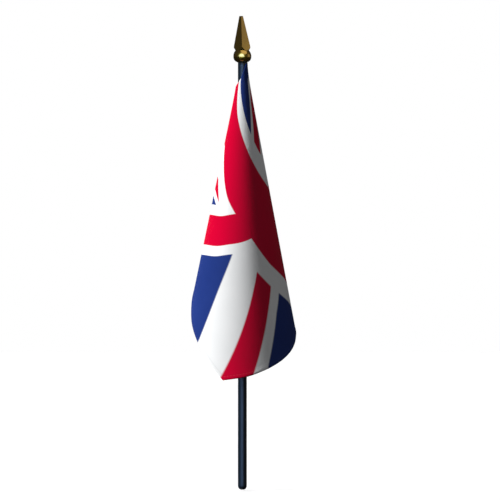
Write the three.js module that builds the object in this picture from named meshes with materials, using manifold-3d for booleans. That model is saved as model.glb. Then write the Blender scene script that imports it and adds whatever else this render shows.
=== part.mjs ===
// A desk flag: a plastic staff with a spear finial on top and a printed cloth flag that hangs
// limp, wound once and a half round the staff. Millimetres, +Z up, origin at the staff's foot.
import * as THREE from "three";
import { mergeVertices } from "three/addons/utils/BufferGeometryUtils.js";
import Module from "manifold-3d";

// ---- driving dimensions ----
const TOTAL_HEIGHT = 254;
const STAFF_RADIUS = 2.38;
const FOOT_ROUNDING = 1.75;
const FOOT_ROUNDING_HEIGHT = 2.2;
const FINIAL_HEIGHT = 24.9;
const BALL_RADIUS = 4.83;
const BALL_LOWER_HEIGHT = 3.4;
const BALL_UPPER_HEIGHT = 3;
const BALL_SEAT_RADIUS = 2.95;
const NECK_RADIUS = 3.6;
const SPEAR_HALF_DIAGONAL = 4.5;
const SPEAR_TIP_HALF_DIAGONAL = 0.95;
const SPEAR_FLARE_HEIGHT = 1.6;
const PEG_RADIUS = 1.5;
const PEG_LENGTH = 7.5;
const FIT_GAP = 0.3;
const SEAT_RECESS = 1.0;
const SLEEVE_GAP = 0.09;
const SLEEVE_WALL = 0.16;
const SLEEVE_TOP_DROP = 12.5;
const FINIAL_CLEARANCE = 1.9;
const FINIAL_LEAN = 1.7;
const HOIST_FOOT_DROP = 104;
const CLOTH_THICKNESS = 0.24;
const ROUND_SIDES = 48;

// ---- levels that follow from them ----
const FINIAL_FOOT = TOTAL_HEIGHT - FINIAL_HEIGHT;
const BALL_CENTRE = FINIAL_FOOT + BALL_LOWER_HEIGHT;
const NECK_LEVEL = BALL_CENTRE + BALL_UPPER_HEIGHT;
const SPEAR_SHOULDER = NECK_LEVEL + SPEAR_FLARE_HEIGHT;
const SHOULDER_LEVEL = FINIAL_FOOT + SEAT_RECESS - FIT_GAP;
const PEG_TOP = SHOULDER_LEVEL + PEG_LENGTH;
const HANG_LEVEL = FINIAL_FOOT - FINIAL_CLEARANCE;
const SLEEVE_TOP = HANG_LEVEL - SLEEVE_TOP_DROP;
const SLEEVE_FOOT = HANG_LEVEL - HOIST_FOOT_DROP;
const SLEEVE_INNER = STAFF_RADIUS + SLEEVE_GAP;
const SLEEVE_OUTER = SLEEVE_INNER + SLEEVE_WALL;

// ---- the drape ----
// Every fall line of the cloth starts beside the hang level and runs down and outwards from the
// staff, so the cloth is one wide cone. Its heading turns from the hoist, inside, to the top
// edge, outside: 0 faces the front, 90 the right. Each row holds a heading in degrees and a value.
const HOIST_HEADING = -330;
const CORNER_HEADING = -17;
const TOP_EDGE_HEADING = 190;
// how far out a fall line goes for each millimetre down
const SLOPE = [
  [-330, 0], [-270, 0.07], [-200, 0.125], [-150, 0.165], [-110, 0.196], [-78, 0.211],
  [-40, 0.2055], [0, 0.1985], [40, 0.192], [84, 0.188], [130, 0.184], [190, 0.168],
];
// how far below the hang level the cloth begins, at its top edge and its hoist corner
const TOP_DROP = [
  [-330, 14], [-200, 14], [-90, 11.5], [-50, 9.7], [-13, 6.4], [12, 2.7],
  [53, -1.4], [190, -1.4],
];
// how far below the hang level the cloth ends, first along its bottom edge, then along its fly edge
const BOTTOM_EDGE_DROP = [
  [-330, 104], [-270, 100], [-200, 98], [-150, 100], [-110, 111], [-90, 121],
  [-77, 128], [-64.5, 137.4], [-49, 147.5], [-29, 160.4], [-17, 167.9],
];
const FLY_EDGE_DROP = [
  [-17, 167.9], [4, 166], [16, 163.7], [29.5, 160.6], [44.5, 156.5], [58, 152.3],
  [70, 148.1], [82, 144], [110, 141.5], [190, 140.5],
];
// the least distance of the cloth from the staff's axis, and what the slope is added to
const WRAP_RADIUS = [
  [-330, 2.98], [-200, 2.98], [-100, 2.7], [-50, 2.62], [190, 2.62],
];
const WRAP_START = [
  [-330, 0], [-200, 0.1], [-110, 0.5], [-78, 0.85], [0, 1.4], [84, 1.95],
  [190, 1.9],
];
const HEADING_STEP = 5;
const DROP_STEPS = 15;

const wasm = await Module();
wasm.setup();

// ---- helpers ----
const radians = (degrees) => (degrees * Math.PI) / 180;

// A smooth curve through rows of [heading, value], by cubic pieces that share their slopes.
function through(rows, at) {
  const last = rows.length - 1;
  if (at <= rows[0][0]) return rows[0][1];
  if (at >= rows[last][0]) return rows[last][1];
  const i = rows.findIndex((row) => row[0] > at) - 1;
  const rise = (a, b) => (rows[b][1] - rows[a][1]) / (rows[b][0] - rows[a][0]);
  const startSlope = rise(Math.max(i - 1, 0), i + 1);
  const endSlope = rise(i, Math.min(i + 2, last));
  const width = rows[i + 1][0] - rows[i][0];
  const t = (at - rows[i][0]) / width;
  return (
    (2 * t ** 3 - 3 * t ** 2 + 1) * rows[i][1] +
    (t ** 3 - 2 * t ** 2 + t) * width * startSlope +
    (3 * t ** 2 - 2 * t ** 3) * rows[i + 1][1] +
    (t ** 3 - t ** 2) * width * endSlope
  );
}

// The point of the cloth's middle on one fall line, some distance below the hang level.
function clothPoint(heading, drop) {
  const reach = through(WRAP_START, heading) + through(SLOPE, heading) * drop;
  const least = through(WRAP_RADIUS, heading);
  const radius = (least ** 4 + Math.max(reach, 0) ** 4) ** 0.25;
  const angle = radians(heading);
  return new THREE.Vector3(radius * Math.sin(angle), -radius * Math.cos(angle), HANG_LEVEL - drop);
}

function endDrop(heading) {
  return through(heading <= CORNER_HEADING ? BOTTOM_EDGE_DROP : FLY_EDGE_DROP, heading);
}

// The unit vector square to the cloth at a point, pointing out of the roll.
function clothNormal(heading, drop) {
  const turn = 0.5;
  const fall = 0.2;
  const across = clothPoint(heading + turn, drop).sub(clothPoint(heading - turn, drop));
  const along = clothPoint(heading, drop + fall).sub(clothPoint(heading, drop - fall));
  return along.cross(across).normalize();
}

function meshOf(name, geometry, colour, roughness, metalness) {
  const material = new THREE.MeshStandardMaterial({ color: colour, roughness, metalness });
  const mesh = new THREE.Mesh(geometry, material);
  mesh.name = name;
  return mesh;
}

function lathe(profile) {
  const points = profile.map(([radius, level]) => new THREE.Vector2(radius, level));
  const geometry = new THREE.LatheGeometry(points, ROUND_SIDES);
  geometry.rotateX(Math.PI / 2);
  return geometry;
}

function solidOf(geometry) {
  const bare = new THREE.BufferGeometry();
  bare.setAttribute("position", geometry.getAttribute("position"));
  bare.setIndex(geometry.getIndex());
  const merged = mergeVertices(bare, 1e-4);
  return new wasm.Manifold(
    new wasm.Mesh({
      numProp: 3,
      vertProperties: new Float32Array(merged.attributes.position.array),
      triVerts: new Uint32Array(merged.index.array),
    }),
  );
}

function geometryOf(solid) {
  const { vertProperties, triVerts } = solid.getMesh();
  const geometry = new THREE.BufferGeometry();
  geometry.setAttribute("position", new THREE.BufferAttribute(vertProperties, 3));
  geometry.setIndex(new THREE.BufferAttribute(triVerts, 1));
  return geometry;
}

function arc(centreRadius, centreLevel, halfWidth, halfHeight, from, to, steps) {
  const points = [];
  for (let i = 0; i <= steps; i++) {
    const angle = radians(from + ((to - from) * i) / steps);
    points.push([
      centreRadius + halfWidth * Math.cos(angle),
      centreLevel + halfHeight * Math.sin(angle),
    ]);
  }
  return points;
}

// ---- pieces ----

// The rod: a rounded foot with a small flat, and a thinner peg on top that the finial takes.
function staff() {
  const foot = arc(
    STAFF_RADIUS - FOOT_ROUNDING, FOOT_ROUNDING_HEIGHT, FOOT_ROUNDING, FOOT_ROUNDING_HEIGHT, -90, 0, 12,
  );
  const profile = [
    [0, 0],
    ...foot,
    [STAFF_RADIUS, SHOULDER_LEVEL],
    [PEG_RADIUS, SHOULDER_LEVEL],
    [PEG_RADIUS, PEG_TOP - 0.5],
    [PEG_RADIUS - 0.5, PEG_TOP],
    [0, PEG_TOP],
  ];
  return meshOf("staff", lathe(profile), 0x0e1a28, 0.35, 0);
}

// The radius of the flattened ball at a height above its widest level: fuller below than above.
function ballRadius(height) {
  if (height >= 0) return BALL_RADIUS * Math.sqrt(1 - (height / 4.6) ** 2);
  return Math.max(BALL_RADIUS * (1 - (-height / 3.6) ** 2.6) ** (1 / 2.6), BALL_SEAT_RADIUS);
}

// A four-sided spear on a flattened ball, moulded in one, with a stepped blind socket below. It
// leans a little to one side of the staff.
function spearFinial() {
  const ballProfile = [];
  for (let i = 0; i <= 16; i++) {
    const height = -BALL_LOWER_HEIGHT + ((BALL_LOWER_HEIGHT + BALL_UPPER_HEIGHT) * i) / 16;
    ballProfile.push([ballRadius(height), BALL_CENTRE + height]);
  }
  const ball = solidOf(lathe([
    [0, FINIAL_FOOT], ...ballProfile, [NECK_RADIUS, NECK_LEVEL + 0.25], [0, NECK_LEVEL + 0.25],
  ]));
  const spearHeight = TOTAL_HEIGHT - SPEAR_SHOULDER;
  const taper = (SPEAR_HALF_DIAGONAL - SPEAR_TIP_HALF_DIAGONAL) / spearHeight;
  const buried = 2.6;
  const pyramid = new THREE.CylinderGeometry(
    SPEAR_TIP_HALF_DIAGONAL, SPEAR_HALF_DIAGONAL + taper * buried, spearHeight + buried, 4,
  );
  pyramid.rotateX(Math.PI / 2);
  pyramid.translate(0, 0, SPEAR_SHOULDER - buried + (spearHeight + buried) / 2);
  const flare = solidOf(lathe([
    [0, NECK_LEVEL - 1],
    [NECK_RADIUS - 0.62, NECK_LEVEL - 1],
    [NECK_RADIUS, NECK_LEVEL],
    [SPEAR_HALF_DIAGONAL + 0.1, SPEAR_SHOULDER],
    [SPEAR_HALF_DIAGONAL + 0.1, TOTAL_HEIGHT + 1],
    [0, TOTAL_HEIGHT + 1],
  ]));
  const socket = solidOf(lathe([
    [0, FINIAL_FOOT - 1],
    [STAFF_RADIUS + FIT_GAP, FINIAL_FOOT - 1],
    [STAFF_RADIUS + FIT_GAP, FINIAL_FOOT + SEAT_RECESS],
    [PEG_RADIUS + FIT_GAP, FINIAL_FOOT + SEAT_RECESS],
    [PEG_RADIUS + FIT_GAP, PEG_TOP + FIT_GAP],
    [0, PEG_TOP + FIT_GAP],
  ]));
  const spear = solidOf(pyramid).intersect(flare);
  const leaning = spear
    .translate([0, 0, -BALL_CENTRE])
    .rotate([0, -FINIAL_LEAN, 0])
    .translate([0, 0, BALL_CENTRE]);
  return meshOf("spear_finial", geometryOf(ball.add(leaning).subtract(socket)), 0xa8802c, 0.3, 1);
}

// The flag's hoist, turned over and sewn into a tube that slips over the staff.
function hoistSleeve() {
  const profile = [
    [SLEEVE_INNER, SLEEVE_FOOT],
    [SLEEVE_OUTER, SLEEVE_FOOT],
    [SLEEVE_OUTER, SLEEVE_TOP],
    [SLEEVE_INNER, SLEEVE_TOP],
    [SLEEVE_INNER, SLEEVE_FOOT],
  ];
  return meshOf("hoist_sleeve", lathe(profile), 0xe8e8e8, 0.8, 0);
}

// The cloth as one thin closed sheet: its outer face, its inner face and the rim between them.
function flagCloth() {
  const headings = [];
  for (let h = HOIST_HEADING; h < CORNER_HEADING; h += HEADING_STEP) headings.push(h);
  for (let h = CORNER_HEADING; h < TOP_EDGE_HEADING; h += HEADING_STEP) headings.push(h);
  headings.push(TOP_EDGE_HEADING);
  const columns = headings.length;
  const rows = DROP_STEPS + 1;
  const positions = [];
  for (const side of [1, -1]) {
    for (const heading of headings) {
      const start = through(TOP_DROP, heading);
      const end = endDrop(heading);
      for (let j = 0; j < rows; j++) {
        const drop = start + ((end - start) * j) / DROP_STEPS;
        const offset = clothNormal(heading, drop).multiplyScalar((side * CLOTH_THICKNESS) / 2);
        positions.push(...clothPoint(heading, drop).add(offset).toArray());
      }
    }
  }
  const at = (side, i, j) => side * columns * rows + i * rows + j;
  const faces = [];
  const quad = (a, b, c, d) => faces.push(a, b, c, a, c, d);
  for (let i = 0; i + 1 < columns; i++) {
    for (let j = 0; j + 1 < rows; j++) {
      quad(at(0, i, j), at(0, i, j + 1), at(0, i + 1, j + 1), at(0, i + 1, j));
      quad(at(1, i, j), at(1, i + 1, j), at(1, i + 1, j + 1), at(1, i, j + 1));
    }
    quad(at(0, i, 0), at(0, i + 1, 0), at(1, i + 1, 0), at(1, i, 0));
    quad(at(0, i, rows - 1), at(1, i, rows - 1), at(1, i + 1, rows - 1), at(0, i + 1, rows - 1));
  }
  for (let j = 0; j + 1 < rows; j++) {
    quad(at(0, 0, j), at(1, 0, j), at(1, 0, j + 1), at(0, 0, j + 1));
    quad(at(0, columns - 1, j), at(0, columns - 1, j + 1), at(1, columns - 1, j + 1), at(1, columns - 1, j));
  }
  const geometry = new THREE.BufferGeometry();
  geometry.setAttribute("position", new THREE.Float32BufferAttribute(positions, 3));
  geometry.setIndex(faces);
  return meshOf("flag_cloth", geometry, 0xc8102e, 0.75, 0);
}

const deskFlag = new THREE.Group();
deskFlag.add(staff(), spearFinial(), hoistSleeve(), flagCloth());
export default deskFlag;
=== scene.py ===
"""Looks for the desk flag: staff, spear finial, sewn sleeve and the printed cloth that hangs on it."""
import bpy
import math
import numpy as np
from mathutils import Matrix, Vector


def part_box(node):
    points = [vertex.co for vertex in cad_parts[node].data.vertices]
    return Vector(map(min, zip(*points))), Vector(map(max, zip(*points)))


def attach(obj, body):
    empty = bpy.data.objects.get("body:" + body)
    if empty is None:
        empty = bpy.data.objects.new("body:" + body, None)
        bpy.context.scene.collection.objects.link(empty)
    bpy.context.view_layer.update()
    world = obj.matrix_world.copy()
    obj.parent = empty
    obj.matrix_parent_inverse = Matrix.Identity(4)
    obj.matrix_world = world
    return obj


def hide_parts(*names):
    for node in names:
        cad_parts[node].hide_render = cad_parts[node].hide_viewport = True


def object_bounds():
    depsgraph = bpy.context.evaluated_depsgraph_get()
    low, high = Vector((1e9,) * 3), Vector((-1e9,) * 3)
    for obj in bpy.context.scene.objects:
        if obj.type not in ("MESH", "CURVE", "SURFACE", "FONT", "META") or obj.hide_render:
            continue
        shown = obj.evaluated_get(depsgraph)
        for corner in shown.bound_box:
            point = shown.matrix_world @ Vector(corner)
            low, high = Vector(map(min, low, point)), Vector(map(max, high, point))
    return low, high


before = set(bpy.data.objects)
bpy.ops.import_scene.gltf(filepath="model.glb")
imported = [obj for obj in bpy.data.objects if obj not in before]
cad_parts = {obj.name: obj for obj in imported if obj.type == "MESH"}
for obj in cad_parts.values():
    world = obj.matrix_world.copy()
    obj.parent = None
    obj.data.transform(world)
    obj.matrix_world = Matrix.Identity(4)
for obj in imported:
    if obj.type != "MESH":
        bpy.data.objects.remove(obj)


def plain(box):
    """A box as lists of plain numbers, which json can write."""
    return [[float(c) for c in corner] for corner in box]


cad_box = plain(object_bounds())

# ---- driving sizes, in millimetres ----
MM = 0.001
STAFF_RADIUS = 2.38
TOP = cad_box[1][2] / MM
FINIAL_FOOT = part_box("spear_finial")[0][2] / MM
HANG = FINIAL_FOOT - 1.9  # the level that the cloth's drop is measured from
FLAG_LENGTH, FLAG_HEIGHT = 152.4, 101.6
THREAD_PITCH = 0.5
SLEEVE_TOP_DROP, SLEEVE_FOOT_DROP = 12.5, 104
SLEEVE_INNER, SLEEVE_OUTER = 2.47, 2.72

# ---- camera: level with the object, from the front, through a long lens ----
VIEW_WIDTH = 0.2682
VIEW_MIDDLE, VIEW_LEVEL = 0.0041, 0.1285
LENS, SENSOR = 400.0, 36.0
camera_data = bpy.data.cameras.new("camera")
camera_data.lens = LENS
camera_data.sensor_width = SENSOR
camera_data.clip_end = 50
camera = bpy.data.objects.new("camera", camera_data)
bpy.context.collection.objects.link(camera)
camera.location = (VIEW_MIDDLE, -VIEW_WIDTH * LENS / SENSOR, VIEW_LEVEL)
camera.rotation_euler = (math.radians(90), 0, 0)
bpy.context.scene.camera = camera
bpy.context.scene.view_settings.view_transform = "Standard"


# ---- node helpers ----
class Shader:
    """A material's node tree, with short calls for the nodes used here."""

    def __init__(self, name):
        self.material = bpy.data.materials.new(name)
        self.material.use_nodes = True
        self.tree = self.material.node_tree
        self.bsdf = self.tree.nodes["Principled BSDF"]

    def node(self, kind, **settings):
        made = self.tree.nodes.new(kind)
        for key, value in settings.items():
            setattr(made, key, value)
        return made

    def put(self, socket, value):
        if isinstance(value, bpy.types.NodeSocket):
            self.tree.links.new(value, socket)
        elif value is not None:
            socket.default_value = value

    def math(self, operation, a, b=None, c=None):
        made = self.node("ShaderNodeMath", operation=operation)
        for socket, value in zip(made.inputs, (a, b, c)):
            self.put(socket, value)
        return made.outputs[0]

    def mix(self, factor, a, b):
        made = self.node("ShaderNodeMix", data_type="RGBA")
        self.put(made.inputs[0], factor)
        self.put(made.inputs[6], a)
        self.put(made.inputs[7], b)
        return made.outputs[2]

    def ramp(self, value, low, high, start=0.0, end=1.0):
        made = self.node("ShaderNodeMapRange", clamp=True)
        for socket, number in zip(made.inputs, (value, low, high, start, end)):
            self.put(socket, number)
        return made.outputs[0]

    def noise(self, scale, detail=3.0, roughness=0.5):
        made = self.node("ShaderNodeTexNoise")
        made.inputs["Scale"].default_value = scale
        made.inputs["Detail"].default_value = detail
        made.inputs["Roughness"].default_value = roughness
        self.put(made.inputs["Vector"], self.node("ShaderNodeTexCoord").outputs["Object"])
        return made.outputs[0]

    def mottle(self, noise, one, other, low=0.3, high=0.7):
        """A colour that wanders between two others with a noise."""
        return self.mix(self.ramp(noise, low, high), one, other)

    def wander(self, noise, start, end):
        """A number that wanders between two others with a noise."""
        return self.ramp(noise, 0.3, 0.7, start, end)

    def split(self, vector):
        """The three parts of a vector."""
        made = self.node("ShaderNodeSeparateXYZ")
        self.put(made.inputs[0], vector)
        return made.outputs

    def bump(self, height, distance, strength=1.0):
        made = self.node("ShaderNodeBump")
        made.inputs["Strength"].default_value = strength
        made.inputs["Distance"].default_value = distance
        self.put(made.inputs["Height"], height)
        self.put(self.bsdf.inputs["Normal"], made.outputs[0])

    def set(self, **values):
        for key, value in values.items():
            self.put(self.bsdf.inputs[key.replace("_", " ")], value)


def rgb(r, g, b):
    """A display colour of 0 to 255 as the linear colour that shaders take."""
    def linear(c):
        c /= 255
        return c / 12.92 if c <= 0.04045 else ((c + 0.055) / 1.055) ** 2.4
    return (linear(r), linear(g), linear(b), 1.0)


# ---- mesh helpers ----
def smooth_curve(rows, at):
    """The same smooth curve through [heading, value] rows as the CAD's, for many headings."""
    xs = np.array([row[0] for row in rows], float)
    ys = np.array([row[1] for row in rows], float)
    at = np.clip(np.asarray(at, float), xs[0], xs[-1])
    last = len(xs) - 1
    before = np.maximum(np.arange(last + 1) - 1, 0)
    after = np.minimum(np.arange(last + 1) + 1, last)
    slopes = (ys[after] - ys[before]) / (xs[after] - xs[before])
    i = np.clip(np.searchsorted(xs, at, side="right") - 1, 0, last - 1)
    width = xs[i + 1] - xs[i]
    t = (at - xs[i]) / width
    return (
        (2 * t**3 - 3 * t**2 + 1) * ys[i] + (t**3 - 2 * t**2 + t) * width * slopes[i]
        + (3 * t**2 - 2 * t**3) * ys[i + 1] + (t**3 - t**2) * width * slopes[i + 1]
    )


def ease(value, low, high):
    """A smooth step from 0 at low to 1 at high."""
    t = np.clip((value - low) / (high - low), 0, 1)
    return t * t * (3 - 2 * t)


def new_piece(name, vertices, faces, material, body, replaces=()):
    """A smooth piece from vertices in millimetres, which rides on a body of the frame."""
    mesh = bpy.data.meshes.new(name)
    mesh.from_pydata([tuple(v) for v in np.asarray(vertices) * MM], [], faces)
    mesh.validate()
    mesh.materials.append(material)
    mesh.polygons.foreach_set("use_smooth", [True] * len(mesh.polygons))
    piece = bpy.data.objects.new(name, mesh)
    bpy.context.collection.objects.link(piece)
    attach(piece, body)
    if replaces:
        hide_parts(*replaces)
    return piece


def ring_surface(radius, levels, sides):
    """Vertices and faces of a closed-ended surface whose radius depends on level and angle."""
    angles = np.arange(sides) * 2 * math.pi / sides
    rows = []
    for k, level in enumerate(levels):
        r = radius(k, angles)
        rows.append(np.stack([r * np.sin(angles), -r * np.cos(angles), np.full(sides, level)], 1))
    vertices = np.concatenate(rows + [np.array([[0, 0, levels[0]], [0, 0, levels[-1]]])])
    faces = []
    for k in range(len(levels) - 1):
        for i in range(sides):
            j = (i + 1) % sides
            faces.append((k * sides + i, k * sides + j, (k + 1) * sides + j, (k + 1) * sides + i))
    low, high, top = len(levels) * sides, len(levels) * sides + 1, (len(levels) - 1) * sides
    for i in range(sides):
        j = (i + 1) % sides
        faces.append((low, j, i))
        faces.append((high, top + i, top + j))
    return vertices, faces


# ---- materials: noise scales are per metre, and bump heights are in metres ----
FINE_GRAIN = 3500


def staff_material():
    s = Shader("staff_plastic_black")
    fine = s.noise(FINE_GRAIN, 3, 0.6)
    broad = s.noise(22, 2)
    colour = s.mottle(broad, rgb(15, 25, 36), rgb(21, 33, 46))
    s.set(Base_Color=colour, Roughness=s.wander(broad, 0.34, 0.44))
    s.set(Specular_IOR_Level=0.5)
    s.bump(fine, 0.005 * MM, 0.25)
    return s.material


def gold_material():
    s = Shader("finial_metallised_gold")
    fine = s.noise(FINE_GRAIN, 3, 0.6)
    broad = s.noise(60, 3)
    colour = s.mottle(broad, rgb(226, 178, 54), rgb(214, 162, 42), low=0.35)
    s.set(Base_Color=colour, Metallic=1.0, Roughness=s.wander(broad, 0.24, 0.32))
    s.set(Coat_Weight=1.0, Coat_Roughness=0.12, Coat_IOR=1.8)
    s.bump(fine, 0.004 * MM, 0.25)
    return s.material


def weave_height(s, u, v):
    """A plain weave: threads that pass over and under each other, from lengths in millimetres."""
    turn = 2 * math.pi / THREAD_PITCH
    across = s.math("SINE", s.math("MULTIPLY", u, turn))
    along = s.math("SINE", s.math("MULTIPLY", v, turn))
    return s.math("MULTIPLY", across, along)


# the print's own sizes, in units of a thirtieth of its height, from its middle
PRINT_HALF_LENGTH, PRINT_HALF_HEIGHT = 30, 15
WHITE_CROSS, RED_CROSS = 5.0, 3.0  # half widths
DIAGONAL = math.hypot(1, 0.5)  # a saltire's height over its width, as its edges rise by a half
WHITE_SALTIRE, RED_SALTIRE = 3 * DIAGONAL, 2 * DIAGONAL  # the white's half height, the red's height
INK_EDGE = 0.07

# the hem, in millimetres
HEM_UNIT = 100.0  # what one unit of its UV map stands for
HEM_WIDTH = 2.5
STITCH_FROM_EDGE, STITCH_HALF_WIDTH = 1.9, 0.16
STITCH_PITCH, STITCH_SHARE = 1.7, 0.62


def printed_cloth_material():
    """The flag's print, with the weave, the stitches of the hem, and painted shade along the hem's
    fold.
    """
    s = Shader("printed_cloth")
    uv = s.split(s.node("ShaderNodeUVMap", uv_map="print").outputs[0])
    x = s.math("MULTIPLY_ADD", uv[0], 2.0 * PRINT_HALF_LENGTH, -PRINT_HALF_LENGTH)
    y = s.math("MULTIPLY_ADD", uv[1], 2.0 * PRINT_HALF_HEIGHT, -PRINT_HALF_HEIGHT)
    ax, ay = s.math("ABSOLUTE", x), s.math("ABSOLUTE", y)
    off = s.math("SUBTRACT", ay, s.math("MULTIPLY", ax, 0.5))
    quarter = s.math("SIGN", s.math("MULTIPLY", x, y))
    turned = s.math("MULTIPLY", off, quarter)
    near = s.math("MINIMUM", ax, ay)

    def inside(depth):
        return s.ramp(depth, -INK_EDGE, INK_EDGE)

    # the red saltire lies on one side of its diagonal, and changes side from quarter to quarter
    white_saltire = inside(s.math("SUBTRACT", WHITE_SALTIRE, s.math("ABSOLUTE", off)))
    red_saltire = inside(s.math(
        "MINIMUM", s.math("ADD", turned, RED_SALTIRE), s.math("MULTIPLY", turned, -1.0)))
    white_cross = inside(s.math("SUBTRACT", WHITE_CROSS, near))
    red_cross = inside(s.math("SUBTRACT", RED_CROSS, near))
    tone = s.noise(35, 4)
    blue = s.mottle(tone, rgb(30, 50, 116), rgb(36, 57, 126))
    red = s.mottle(tone, rgb(198, 0, 45), rgb(206, 0, 49))
    white = s.mottle(tone, rgb(236, 238, 239), rgb(243, 244, 245))
    colour = s.mix(white_saltire, blue, white)
    colour = s.mix(red_saltire, colour, red)
    colour = s.mix(white_cross, colour, white)
    colour = s.mix(red_cross, colour, red)

    edge = s.split(s.node("ShaderNodeUVMap", uv_map="hem").outputs[0])
    from_edge = s.math("MULTIPLY", edge[0], HEM_UNIT)
    along_edge = s.math("MULTIPLY", edge[1], HEM_UNIT)
    from_line = s.math("ABSOLUTE", s.math("SUBTRACT", from_edge, STITCH_FROM_EDGE))
    line = s.math("SUBTRACT", STITCH_HALF_WIDTH, from_line)
    step = s.math("FRACT", s.math("DIVIDE", along_edge, STITCH_PITCH))
    dash = s.math("SUBTRACT", STITCH_SHARE, step)
    stitch = s.math("MULTIPLY", s.ramp(line, 0.0, 0.08), s.ramp(dash, 0.0, 0.08))
    # painted shade: the colour is darkened to 82 percent within 0.22 mm of the hem's fold, where a
    # crease would shade it
    from_fold = s.math("ABSOLUTE", s.math("SUBTRACT", from_edge, HEM_WIDTH))
    painted_fold_shade = s.ramp(from_fold, 0.0, 0.22, 0.82, 1.0)
    colour = s.mix(s.math("MULTIPLY", stitch, 0.07), colour, rgb(205, 205, 212))
    shade = s.node("ShaderNodeMix", data_type="RGBA", blend_type="MULTIPLY")
    s.put(shade.inputs[0], s.math("SUBTRACT", 1.0, painted_fold_shade))
    s.put(shade.inputs[6], colour)
    s.put(shade.inputs[7], (0.0, 0.0, 0.0, 1.0))
    weave = weave_height(
        s, s.math("MULTIPLY", uv[0], FLAG_LENGTH), s.math("MULTIPLY", uv[1], FLAG_HEIGHT))
    height = s.math("ADD", s.math("MULTIPLY", weave, 0.5), s.math("MULTIPLY", stitch, 1.5))
    height = s.math("ADD", height, s.math("MULTIPLY", s.noise(300, 4), 0.8))
    s.set(Base_Color=shade.outputs[2], Roughness=s.wander(tone, 0.68, 0.8))
    s.set(Specular_IOR_Level=0.06, Sheen_Weight=0.015, Sheen_Roughness=0.5)
    s.bump(height, 0.05 * MM, 0.45)
    return s.material


def sleeve_material():
    s = Shader("sleeve_woven_cloth")
    radius = 2.8
    place = s.split(s.node("ShaderNodeTexCoord").outputs["Object"])
    turn = s.math("MULTIPLY", s.math("ARCTAN2", place[1], place[0]), radius)
    weave = weave_height(s, turn, s.math("MULTIPLY", place[2], 1 / MM))
    tone = s.noise(80, 4)
    colour = s.mottle(tone, rgb(206, 209, 214), rgb(226, 228, 231))
    s.set(Base_Color=colour, Roughness=0.82, Specular_IOR_Level=0.2, Sheen_Weight=0.1)
    s.bump(s.math("ADD", weave, s.math("MULTIPLY", tone, 1.5)), 0.06 * MM, 0.6)
    return s.material


def thread_material():
    s = Shader("sewing_thread")
    place = s.split(s.node("ShaderNodeTexCoord").outputs["Object"])
    turns = s.math("MULTIPLY", s.math("ADD", place[0], place[2]), 30 / MM)
    colour = s.mottle(s.noise(200, 2), rgb(212, 212, 216), rgb(232, 232, 235))
    s.set(Base_Color=colour, Roughness=0.6, Sheen_Weight=0.2)
    s.bump(s.math("SINE", turns), 0.03 * MM, 0.5)
    return s.material


# ---- staff ----
def staff():
    """A rod with a rounded foot, barely uneven along its length, and a peg inside the finial."""
    foot_round, foot_height = 1.75, 2.2
    peg_foot, peg_length = FINIAL_FOOT + 0.6, 7.2
    levels, radii = [], []
    for angle in np.radians(np.linspace(-90, 0, 20)):
        levels.append(foot_height + foot_height * math.sin(angle))
        radii.append(STAFF_RADIUS - foot_round + foot_round * math.cos(angle))
    for level in np.linspace(foot_height + 1.5, peg_foot, 90):
        wave = 0.006 * math.sin(level * 0.11) + 0.004 * math.sin(level * 0.37 + 1)
        levels.append(level)
        radii.append(STAFF_RADIUS - 0.01 + wave)
    levels += [peg_foot + 0.05, peg_foot + peg_length]
    radii += [1.5, 1.45]

    def radius(k, angles):
        # a faint parting line runs up each side, between the foot and the peg
        from_parting = np.abs(np.sin(angles / 2)) - math.sin(math.pi / 4)
        parting = 0.012 * np.exp(-((from_parting / 0.012) ** 2))
        return radii[k] + (parting if 3 < k < len(radii) - 2 else 0 * angles)

    vertices, faces = ring_surface(radius, levels, 96)
    new_piece("staff_rod", vertices, faces, staff_material(), "staff", ["staff"])


# ---- spear finial ----
def finial():
    """A four-sided spear that rises through a short cone from a flattened ball."""
    seat_depth, depth, height, fullness = 3.4, 3.6, 4.6, 2.6
    ball_mid = FINIAL_FOOT + seat_depth
    neck_level, shoulder = ball_mid + 3, ball_mid + 4.6
    half, tip_half, neck, ball, seat = 4.54, 0.98, 3.6, 4.83, 2.62
    lean, blend = math.radians(1.7), 24
    # the ball is an ellipse above its middle and fuller below, down to a bevelled seat
    heights = np.concatenate([[-seat_depth], np.linspace(-3.26, 2.95, 48)])
    upper = ball * np.sqrt(1 - (np.maximum(heights, 0) / height) ** 2)
    lower = ball * (1 - (np.maximum(-heights, 0) / depth) ** fullness) ** (1 / fullness)
    ball_radius = np.where(heights < 0, lower, upper)
    ball_radius[0] = seat
    spear_levels = np.concatenate([
        np.linspace(neck_level + 0.02, shoulder + 1.5, 40), np.linspace(shoulder + 1.7, TOP - 0.14, 70),
        [TOP - 0.05, TOP]])
    levels = np.concatenate([ball_mid + heights, spear_levels])

    def radius(k, angles):
        if k < len(heights):
            return np.full_like(angles, ball_radius[k])
        level = levels[k]
        reach = half + (tip_half - half) * (level - shoulder) / (TOP - shoulder)
        if level > TOP - 0.1:
            # the last two rows round the tip off
            reach -= 0.1 + 0.14 * (level - TOP + 0.05) / 0.05
        section = reach / (np.abs(np.cos(angles)) + np.abs(np.sin(angles)))
        if level > shoulder + 1.45:
            return section
        cone = neck + (half - neck) * (level - neck_level) / (shoulder - neck_level)
        return (section**-blend + cone**-blend) ** (-1 / blend)

    vertices, faces = ring_surface(radius, list(levels), 192)
    # the moulding leans a little to the left of the staff, from the middle of its ball up
    vertices[:, 0] -= math.tan(lean) * np.maximum(vertices[:, 2] - ball_mid, 0)
    piece = new_piece(
        "spear_gold", vertices, faces, gold_material(), "staff", ["spear_finial"])
    piece.data.set_sharp_from_angle(angle=math.radians(35))


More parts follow.
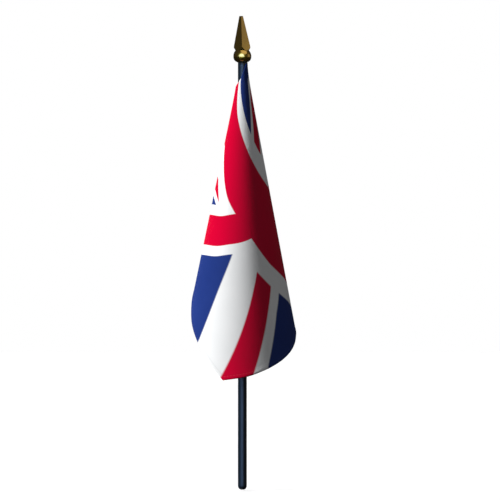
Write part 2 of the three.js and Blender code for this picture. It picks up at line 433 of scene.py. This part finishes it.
# ---- cloth: each row is a heading round the staff, in degrees from the front, and a value ----
CORNER, HOIST, FLAP_END = -17.0, -330.0, 190.0
SLOPE = [
    (-330, 0), (-270, 0.07), (-200, 0.125), (-150, 0.165), (-110, 0.196), (-78, 0.211),
    (-40, 0.2055), (0, 0.1985), (40, 0.192), (84, 0.188), (130, 0.184), (190, 0.168),
]
TOP_DROP = [
    (-330, 14), (-200, 14), (-90, 11.5), (-50, 9.7), (-13, 6.4), (12, 2.7),
    (53, -1.4), (190, -1.4),
]
BOTTOM_DROP = [
    (-330, 104), (-270, 100), (-200, 98), (-150, 100), (-110, 111), (-90, 121),
    (-77, 128), (-64.5, 137.4), (-49, 147.5), (-29, 160.4), (-17, 167.9),
]
FLY_DROP = [
    (-17, 167.9), (4, 166), (16, 163.7), (29.5, 160.6), (44.5, 156.5), (58, 152.3),
    (70, 148.1), (82, 144), (110, 141.5), (190, 140.5),
]
WRAP_RADIUS = [
    (-330, 2.98), (-200, 2.98), (-100, 2.7), (-50, 2.62), (190, 2.62),
]
WRAP_START = [
    (-330, 0), (-200, 0.1), (-110, 0.5), (-78, 0.85), (0, 1.4), (84, 1.95),
    (190, 1.9),
]


def foot_drop(heading):
    """How far down the cloth's edge hangs: its bottom edge up to the corner, and then its fly."""
    return np.where(
        heading <= CORNER, smooth_curve(BOTTOM_DROP, heading), smooth_curve(FLY_DROP, heading))


def cloth_points(heading, drop):
    """The middle of the cloth's thickness, wound round the sleeve and flaring as it drops."""
    reach = smooth_curve(WRAP_START, heading) + smooth_curve(SLOPE, heading) * drop
    radius = (smooth_curve(WRAP_RADIUS, heading) ** 4 + np.maximum(reach, 0) ** 4) ** 0.25
    angle = np.radians(heading)
    return np.stack([radius * np.sin(angle), -radius * np.cos(angle), HANG - drop], -1)


def print_formula(drop, q):
    """The print's place on the front, from the drop and from q across the front."""
    across_per_mm, across_middle = 0.373, 87.4
    down_per_mm, down_middle = 0.1305, 62.2
    # the stripe at across 0 hangs level, sags near the left and rises to the right; the stripe at
    # down 0 falls to the right, and curls up at the left
    sag = 1.2 * np.exp(-(((q + 0.66) / 0.3) ** 2))
    lift = 9.1 * np.maximum(0, q + 0.3) ** 2
    across = across_per_mm * (drop - across_middle + lift - sag)
    curl = 46 * np.maximum(0, -q - 0.42) ** 2
    down = down_per_mm * (drop - down_middle - 26.8 * q + curl)
    # the lower white stripe narrows towards the right
    down -= 0.45 * ease(q, 0.1, 0.9) * np.exp(-(((down - 3) / 1.3) ** 2))
    return across, down


def print_place(heading, drop, point):
    """Where in the print a point of the cloth lies, in the print's own units."""
    # q runs from -1 at the left of the front to 1 at its right, and slowly further round the back
    front_left, front_right = -80, 45
    front_middle = 0.9 - 0.0125 * drop
    front_half = 1.39 + 0.1949 * drop
    q = np.clip((point[..., 0] - front_middle) / front_half, -1, 1)
    round_left = 0.3 * (1 - np.exp(-np.maximum(0, front_left - heading) / 50))
    q = np.where(heading < front_left, -1.0 - round_left, q)
    past_right = np.log(1 + np.maximum(0, heading - front_right) / 32)
    round_right = 0.707 + 0.4 * past_right * ease(drop, 0, 21)
    q = q + (round_right - q) * ease(heading, 38, 56)
    across, down = print_formula(drop, q)

    # the inner turns run on to the hoist edge, with the bottom edge of the print along their foot
    foot = foot_drop(heading)
    share = drop / foot
    _, down_at_foot = print_formula(foot, q)
    hidden = ease(-heading, 160, 330)
    lift = (PRINT_HALF_HEIGHT - down_at_foot) * share * ease(-heading, 60, 110)
    pulled = across - 3 * share * ease(-heading, 80, 170)
    across_in = pulled * (1 - hidden) - PRINT_HALF_LENGTH * hidden
    down_in = (down + lift) * (1 - hidden) + PRINT_HALF_HEIGHT * (2 * share - 1) * hidden

    # the outer flap runs on to the top edge
    flap_start = 64
    flap = (np.maximum(0, heading - flap_start) / (FLAP_END - flap_start)) ** 2.5
    across_out = across + (PRINT_HALF_LENGTH * (2 * share - 1) - across) * flap
    down_out = down + (-PRINT_HALF_HEIGHT - down) * flap
    inner = heading < 0
    return np.where(inner, across_in, across_out), np.where(inner, down_in, down_out)


def cloth():
    """A thin shell on both sides of the cloth's middle, thicker along its hem."""
    left = np.linspace(HOIST, CORNER, 190)
    right = np.linspace(CORNER, FLAP_END, 132)[1:]
    headings = np.concatenate([left, right])
    rows = 150
    start = smooth_curve(TOP_DROP, headings)
    end = foot_drop(headings)
    t = 1 - (1 - np.linspace(0, 1, rows)) ** 1.06
    drop = start[:, None] + (end - start)[:, None] * t[None, :]
    heading = np.repeat(headings[:, None], rows, 1)
    middle = cloth_points(heading, drop)
    turn = cloth_points(heading + 0.5, drop) - cloth_points(heading - 0.5, drop)
    fall = cloth_points(heading, drop + 0.2) - cloth_points(heading, drop - 0.2)
    normal = np.cross(fall, turn)
    normal /= np.linalg.norm(normal, axis=-1, keepdims=True)

    # distance from the hemmed edges, and the length along them
    arc = np.zeros_like(drop)
    arc[1:] = np.cumsum(np.linalg.norm(np.diff(middle, axis=0), axis=-1), axis=0)
    from_foot = end[:, None] - drop
    from_flap = arc[-1][None, :] - arc
    edge = np.minimum(from_foot, from_flap)
    along = np.where(from_foot < from_flap, arc, drop)
    # the hem is about twice as thick, and the very edge is thinned
    single, turned_over = 0.22, 0.2
    thick = single + turned_over * (1 - ease(edge, HEM_WIDTH - 0.3, HEM_WIDTH + 0.3))
    thick = thick * (0.55 + 0.45 * ease(edge, 0, 0.25))
    outer = middle + normal * (thick / 2)[..., None]
    inner = middle - normal * (thick / 2)[..., None]

    columns = len(headings)
    vertices = np.concatenate([outer.reshape(-1, 3), inner.reshape(-1, 3)])
    count = columns * rows

    def at(side, i, j):
        return side * count + i * rows + j

    faces = []
    low = rows - 1
    for i in range(columns - 1):
        for j in range(rows - 1):
            faces.append((at(0, i, j), at(0, i, j + 1), at(0, i + 1, j + 1), at(0, i + 1, j)))
            faces.append((at(1, i, j), at(1, i + 1, j), at(1, i + 1, j + 1), at(1, i, j + 1)))
        faces.append((at(0, i, 0), at(0, i + 1, 0), at(1, i + 1, 0), at(1, i, 0)))
        faces.append((at(0, i, low), at(1, i, low), at(1, i + 1, low), at(0, i + 1, low)))
    last = columns - 1
    for j in range(rows - 1):
        faces.append((at(0, 0, j), at(1, 0, j), at(1, 0, j + 1), at(0, 0, j + 1)))
        faces.append((at(0, last, j), at(0, last, j + 1), at(1, last, j + 1), at(1, last, j)))
    piece = new_piece(
        "printed_flag", vertices, faces, printed_cloth_material(), "flag",
        ["flag_cloth"])
    x, y = print_place(heading, drop, middle)
    half_length, half_height = PRINT_HALF_LENGTH, PRINT_HALF_HEIGHT
    place = np.stack([(x + half_length) / (2 * half_length), (y + half_height) / (2 * half_height)], -1)
    place = place.reshape(-1, 2)
    hem = np.stack([edge / HEM_UNIT, along / HEM_UNIT], -1).reshape(-1, 2)
    corners = np.array([loop.vertex_index for loop in piece.data.loops]) % count
    for name, values in (("print", place), ("hem", hem)):
        layer = piece.data.uv_layers.new(name=name)
        layer.data.foreach_set("uv", values[corners].astype(np.float32).ravel())
    return piece


def sleeve():
    """A tube of cloth round the staff, slightly puckered, with a raised seam."""
    levels = list(np.linspace(HANG - SLEEVE_FOOT_DROP, HANG - SLEEVE_TOP_DROP, 120))
    sides = 96
    seam_angle, seam_width, seam_height = 0.35, 0.16, 0.14

    def radius(k, angles):
        level = levels[k]
        pucker = 0.035 * np.sin(level * 2.1 + 1.7 * np.sin(angles))
        pucker += 0.02 * np.sin(level * 0.9 - 2 * angles)
        from_seam = np.angle(np.exp(1j * (angles - seam_angle)))
        return SLEEVE_OUTER + pucker + seam_height * np.exp(-((from_seam / seam_width) ** 2))

    vertices, faces = ring_surface(radius, levels, sides)
    inner_vertices, inner_faces = ring_surface(
        lambda k, a: np.full_like(a, SLEEVE_INNER), levels, sides)
    rows = len(levels)
    body = rows * sides
    vertices = np.concatenate([vertices[:body], inner_vertices[:body]])
    top = (rows - 1) * sides
    walls = faces[:top]
    inner_walls = [tuple(body + v for v in reversed(face)) for face in inner_faces[:top]]
    rims = []
    for i in range(sides):
        j = (i + 1) % sides
        rims.append((j, i, body + i, body + j))
        rims.append((top + i, top + j, body + top + j, body + top + i))
    new_piece(
        "sleeve_tube", vertices, walls + inner_walls + rims, sleeve_material(), "flag",
        ["hoist_sleeve"])


def sleeve_stitches():
    """A row of short stitches up the sleeve, beside its raised seam."""
    vertices, faces = [], []
    heading = math.radians(52)
    outward = np.array([math.sin(heading), -math.cos(heading), 0])
    sideways = np.array([math.cos(heading), math.sin(heading), 0])
    sides, rings = 8, 7
    length, pitch, thread = 1.5, 2.2, 0.13
    level = HANG - SLEEVE_FOOT_DROP + 3.5
    while level < HANG - SLEEVE_TOP_DROP - 4.5:
        first = len(vertices)
        for k in range(rings):
            t = k / (rings - 1)
            size = thread * math.sqrt(max(0.0, 1 - (2 * t - 1) ** 4)) + 0.01
            centre = outward * (SLEEVE_OUTER + 0.1 * math.sin(math.pi * t))
            centre = centre + np.array([0, 0, level + length * t])
            for i in range(sides):
                a = 2 * math.pi * i / sides
                vertices.append(centre + size * (outward * math.cos(a) + sideways * math.sin(a)))
        for k in range(rings - 1):
            for i in range(sides):
                j = (i + 1) % sides
                base = first + k * sides
                faces.append((base + i, base + sides + i, base + sides + j, base + j))
        faces.append(tuple(first + i for i in range(sides)))
        faces.append(tuple(first + (rings - 1) * sides + i for i in reversed(range(sides))))
        level += pitch
    new_piece("sleeve_stitches", vertices, faces, thread_material(), "flag")


staff()
finial()
flag = cloth()
sleeve()
sleeve_stitches()

# ---- floor and light, in metres ----
FLOOR_RADIUS, FLOOR_SIDES, FLOOR_GAP = 4, 64, 0.0003
WORLD_FOR_DIFFUSE, WORLD_FOR_ALL = 0.175, 0.04
floor_mesh = bpy.data.meshes.new("floor")
around = np.linspace(0, 2 * math.pi, FLOOR_SIDES + 1)[:-1]
ring = [(FLOOR_RADIUS * math.cos(a), FLOOR_RADIUS * math.sin(a), 0) for a in around]
floor_mesh.from_pydata(ring, [], [tuple(range(FLOOR_SIDES))])
floor = bpy.data.objects.new("floor", floor_mesh)
floor.location = (0, 0, -FLOOR_GAP)
bpy.context.collection.objects.link(floor)
paper = Shader("floor_paper")
paper.set(Base_Color=rgb(245, 245, 245), Roughness=0.9, Specular_IOR_Level=0.1)
paper.set(Emission_Color=(1, 1, 1, 1), Emission_Strength=0.4)
# the camera sees bright paper, and the object gets next to no light back from it
dim = paper.node("ShaderNodeBsdfDiffuse")
dim.inputs[0].default_value = (0.015, 0.015, 0.015, 1)
choice = paper.node("ShaderNodeMixShader")
paper.put(choice.inputs[0], paper.node("ShaderNodeLightPath").outputs["Is Camera Ray"])
paper.put(choice.inputs[1], dim.outputs[0])
paper.put(choice.inputs[2], paper.bsdf.outputs[0])
paper.put(paper.tree.nodes["Material Output"].inputs[0], choice.outputs[0])
floor_mesh.materials.append(paper.material)


def sun(name, azimuth, elevation, strength, softness, colour=(1, 1, 1)):
    """A far light that comes from azimuth degrees round from the front, towards the right."""
    data = bpy.data.lights.new(name, "SUN")
    data.energy = strength
    data.angle = math.radians(softness)
    data.color = colour
    light = bpy.data.objects.new(name, data)
    bpy.context.collection.objects.link(light)
    a, e = math.radians(azimuth), math.radians(elevation)
    towards = Vector((math.sin(a) * math.cos(e), -math.cos(a) * math.cos(e), math.sin(e)))
    light.rotation_euler = towards.to_track_quat("Z", "Y").to_euler()
    return light


# the key comes from far left and models the cloth; the three reflections only show as shine, mostly on
# the staff and the gold; the back fill opens up the back
sun("key", -70.5, 15, 4.2, 13).visible_glossy = False
sun("front_reflection", -10, -1, 2.6, 64, (0.64, 1, 1.75)).visible_diffuse = False
sun("upper_reflection", 36, 58, 0.6, 66, (1, 0.95, 0.9)).visible_diffuse = False
sun("side_reflection", 92, 2, 0.105, 40, (1, 0.95, 0.8)).visible_diffuse = False
sun("back_fill", -160, 22, 1.7, 40).visible_glossy = False

world = bpy.data.worlds.new("studio")
bpy.context.scene.world = world
world.use_nodes = True
tree = world.node_tree
seen = tree.nodes.new("ShaderNodeLightPath")
# the camera sees the world white, and it lights the object only a little
to_cloth = tree.nodes.new("ShaderNodeMath")
to_cloth.operation = "MULTIPLY_ADD"
tree.links.new(seen.outputs["Is Diffuse Ray"], to_cloth.inputs[0])
to_cloth.inputs[1].default_value = WORLD_FOR_DIFFUSE
to_cloth.inputs[2].default_value = WORLD_FOR_ALL
level = tree.nodes.new("ShaderNodeMath")
level.operation = "MAXIMUM"
tree.links.new(seen.outputs["Is Camera Ray"], level.inputs[0])
tree.links.new(to_cloth.outputs[0], level.inputs[1])
tree.nodes["Background"].inputs[0].default_value = (1, 1, 1, 1)
tree.links.new(level.outputs[0], tree.nodes["Background"].inputs[1])
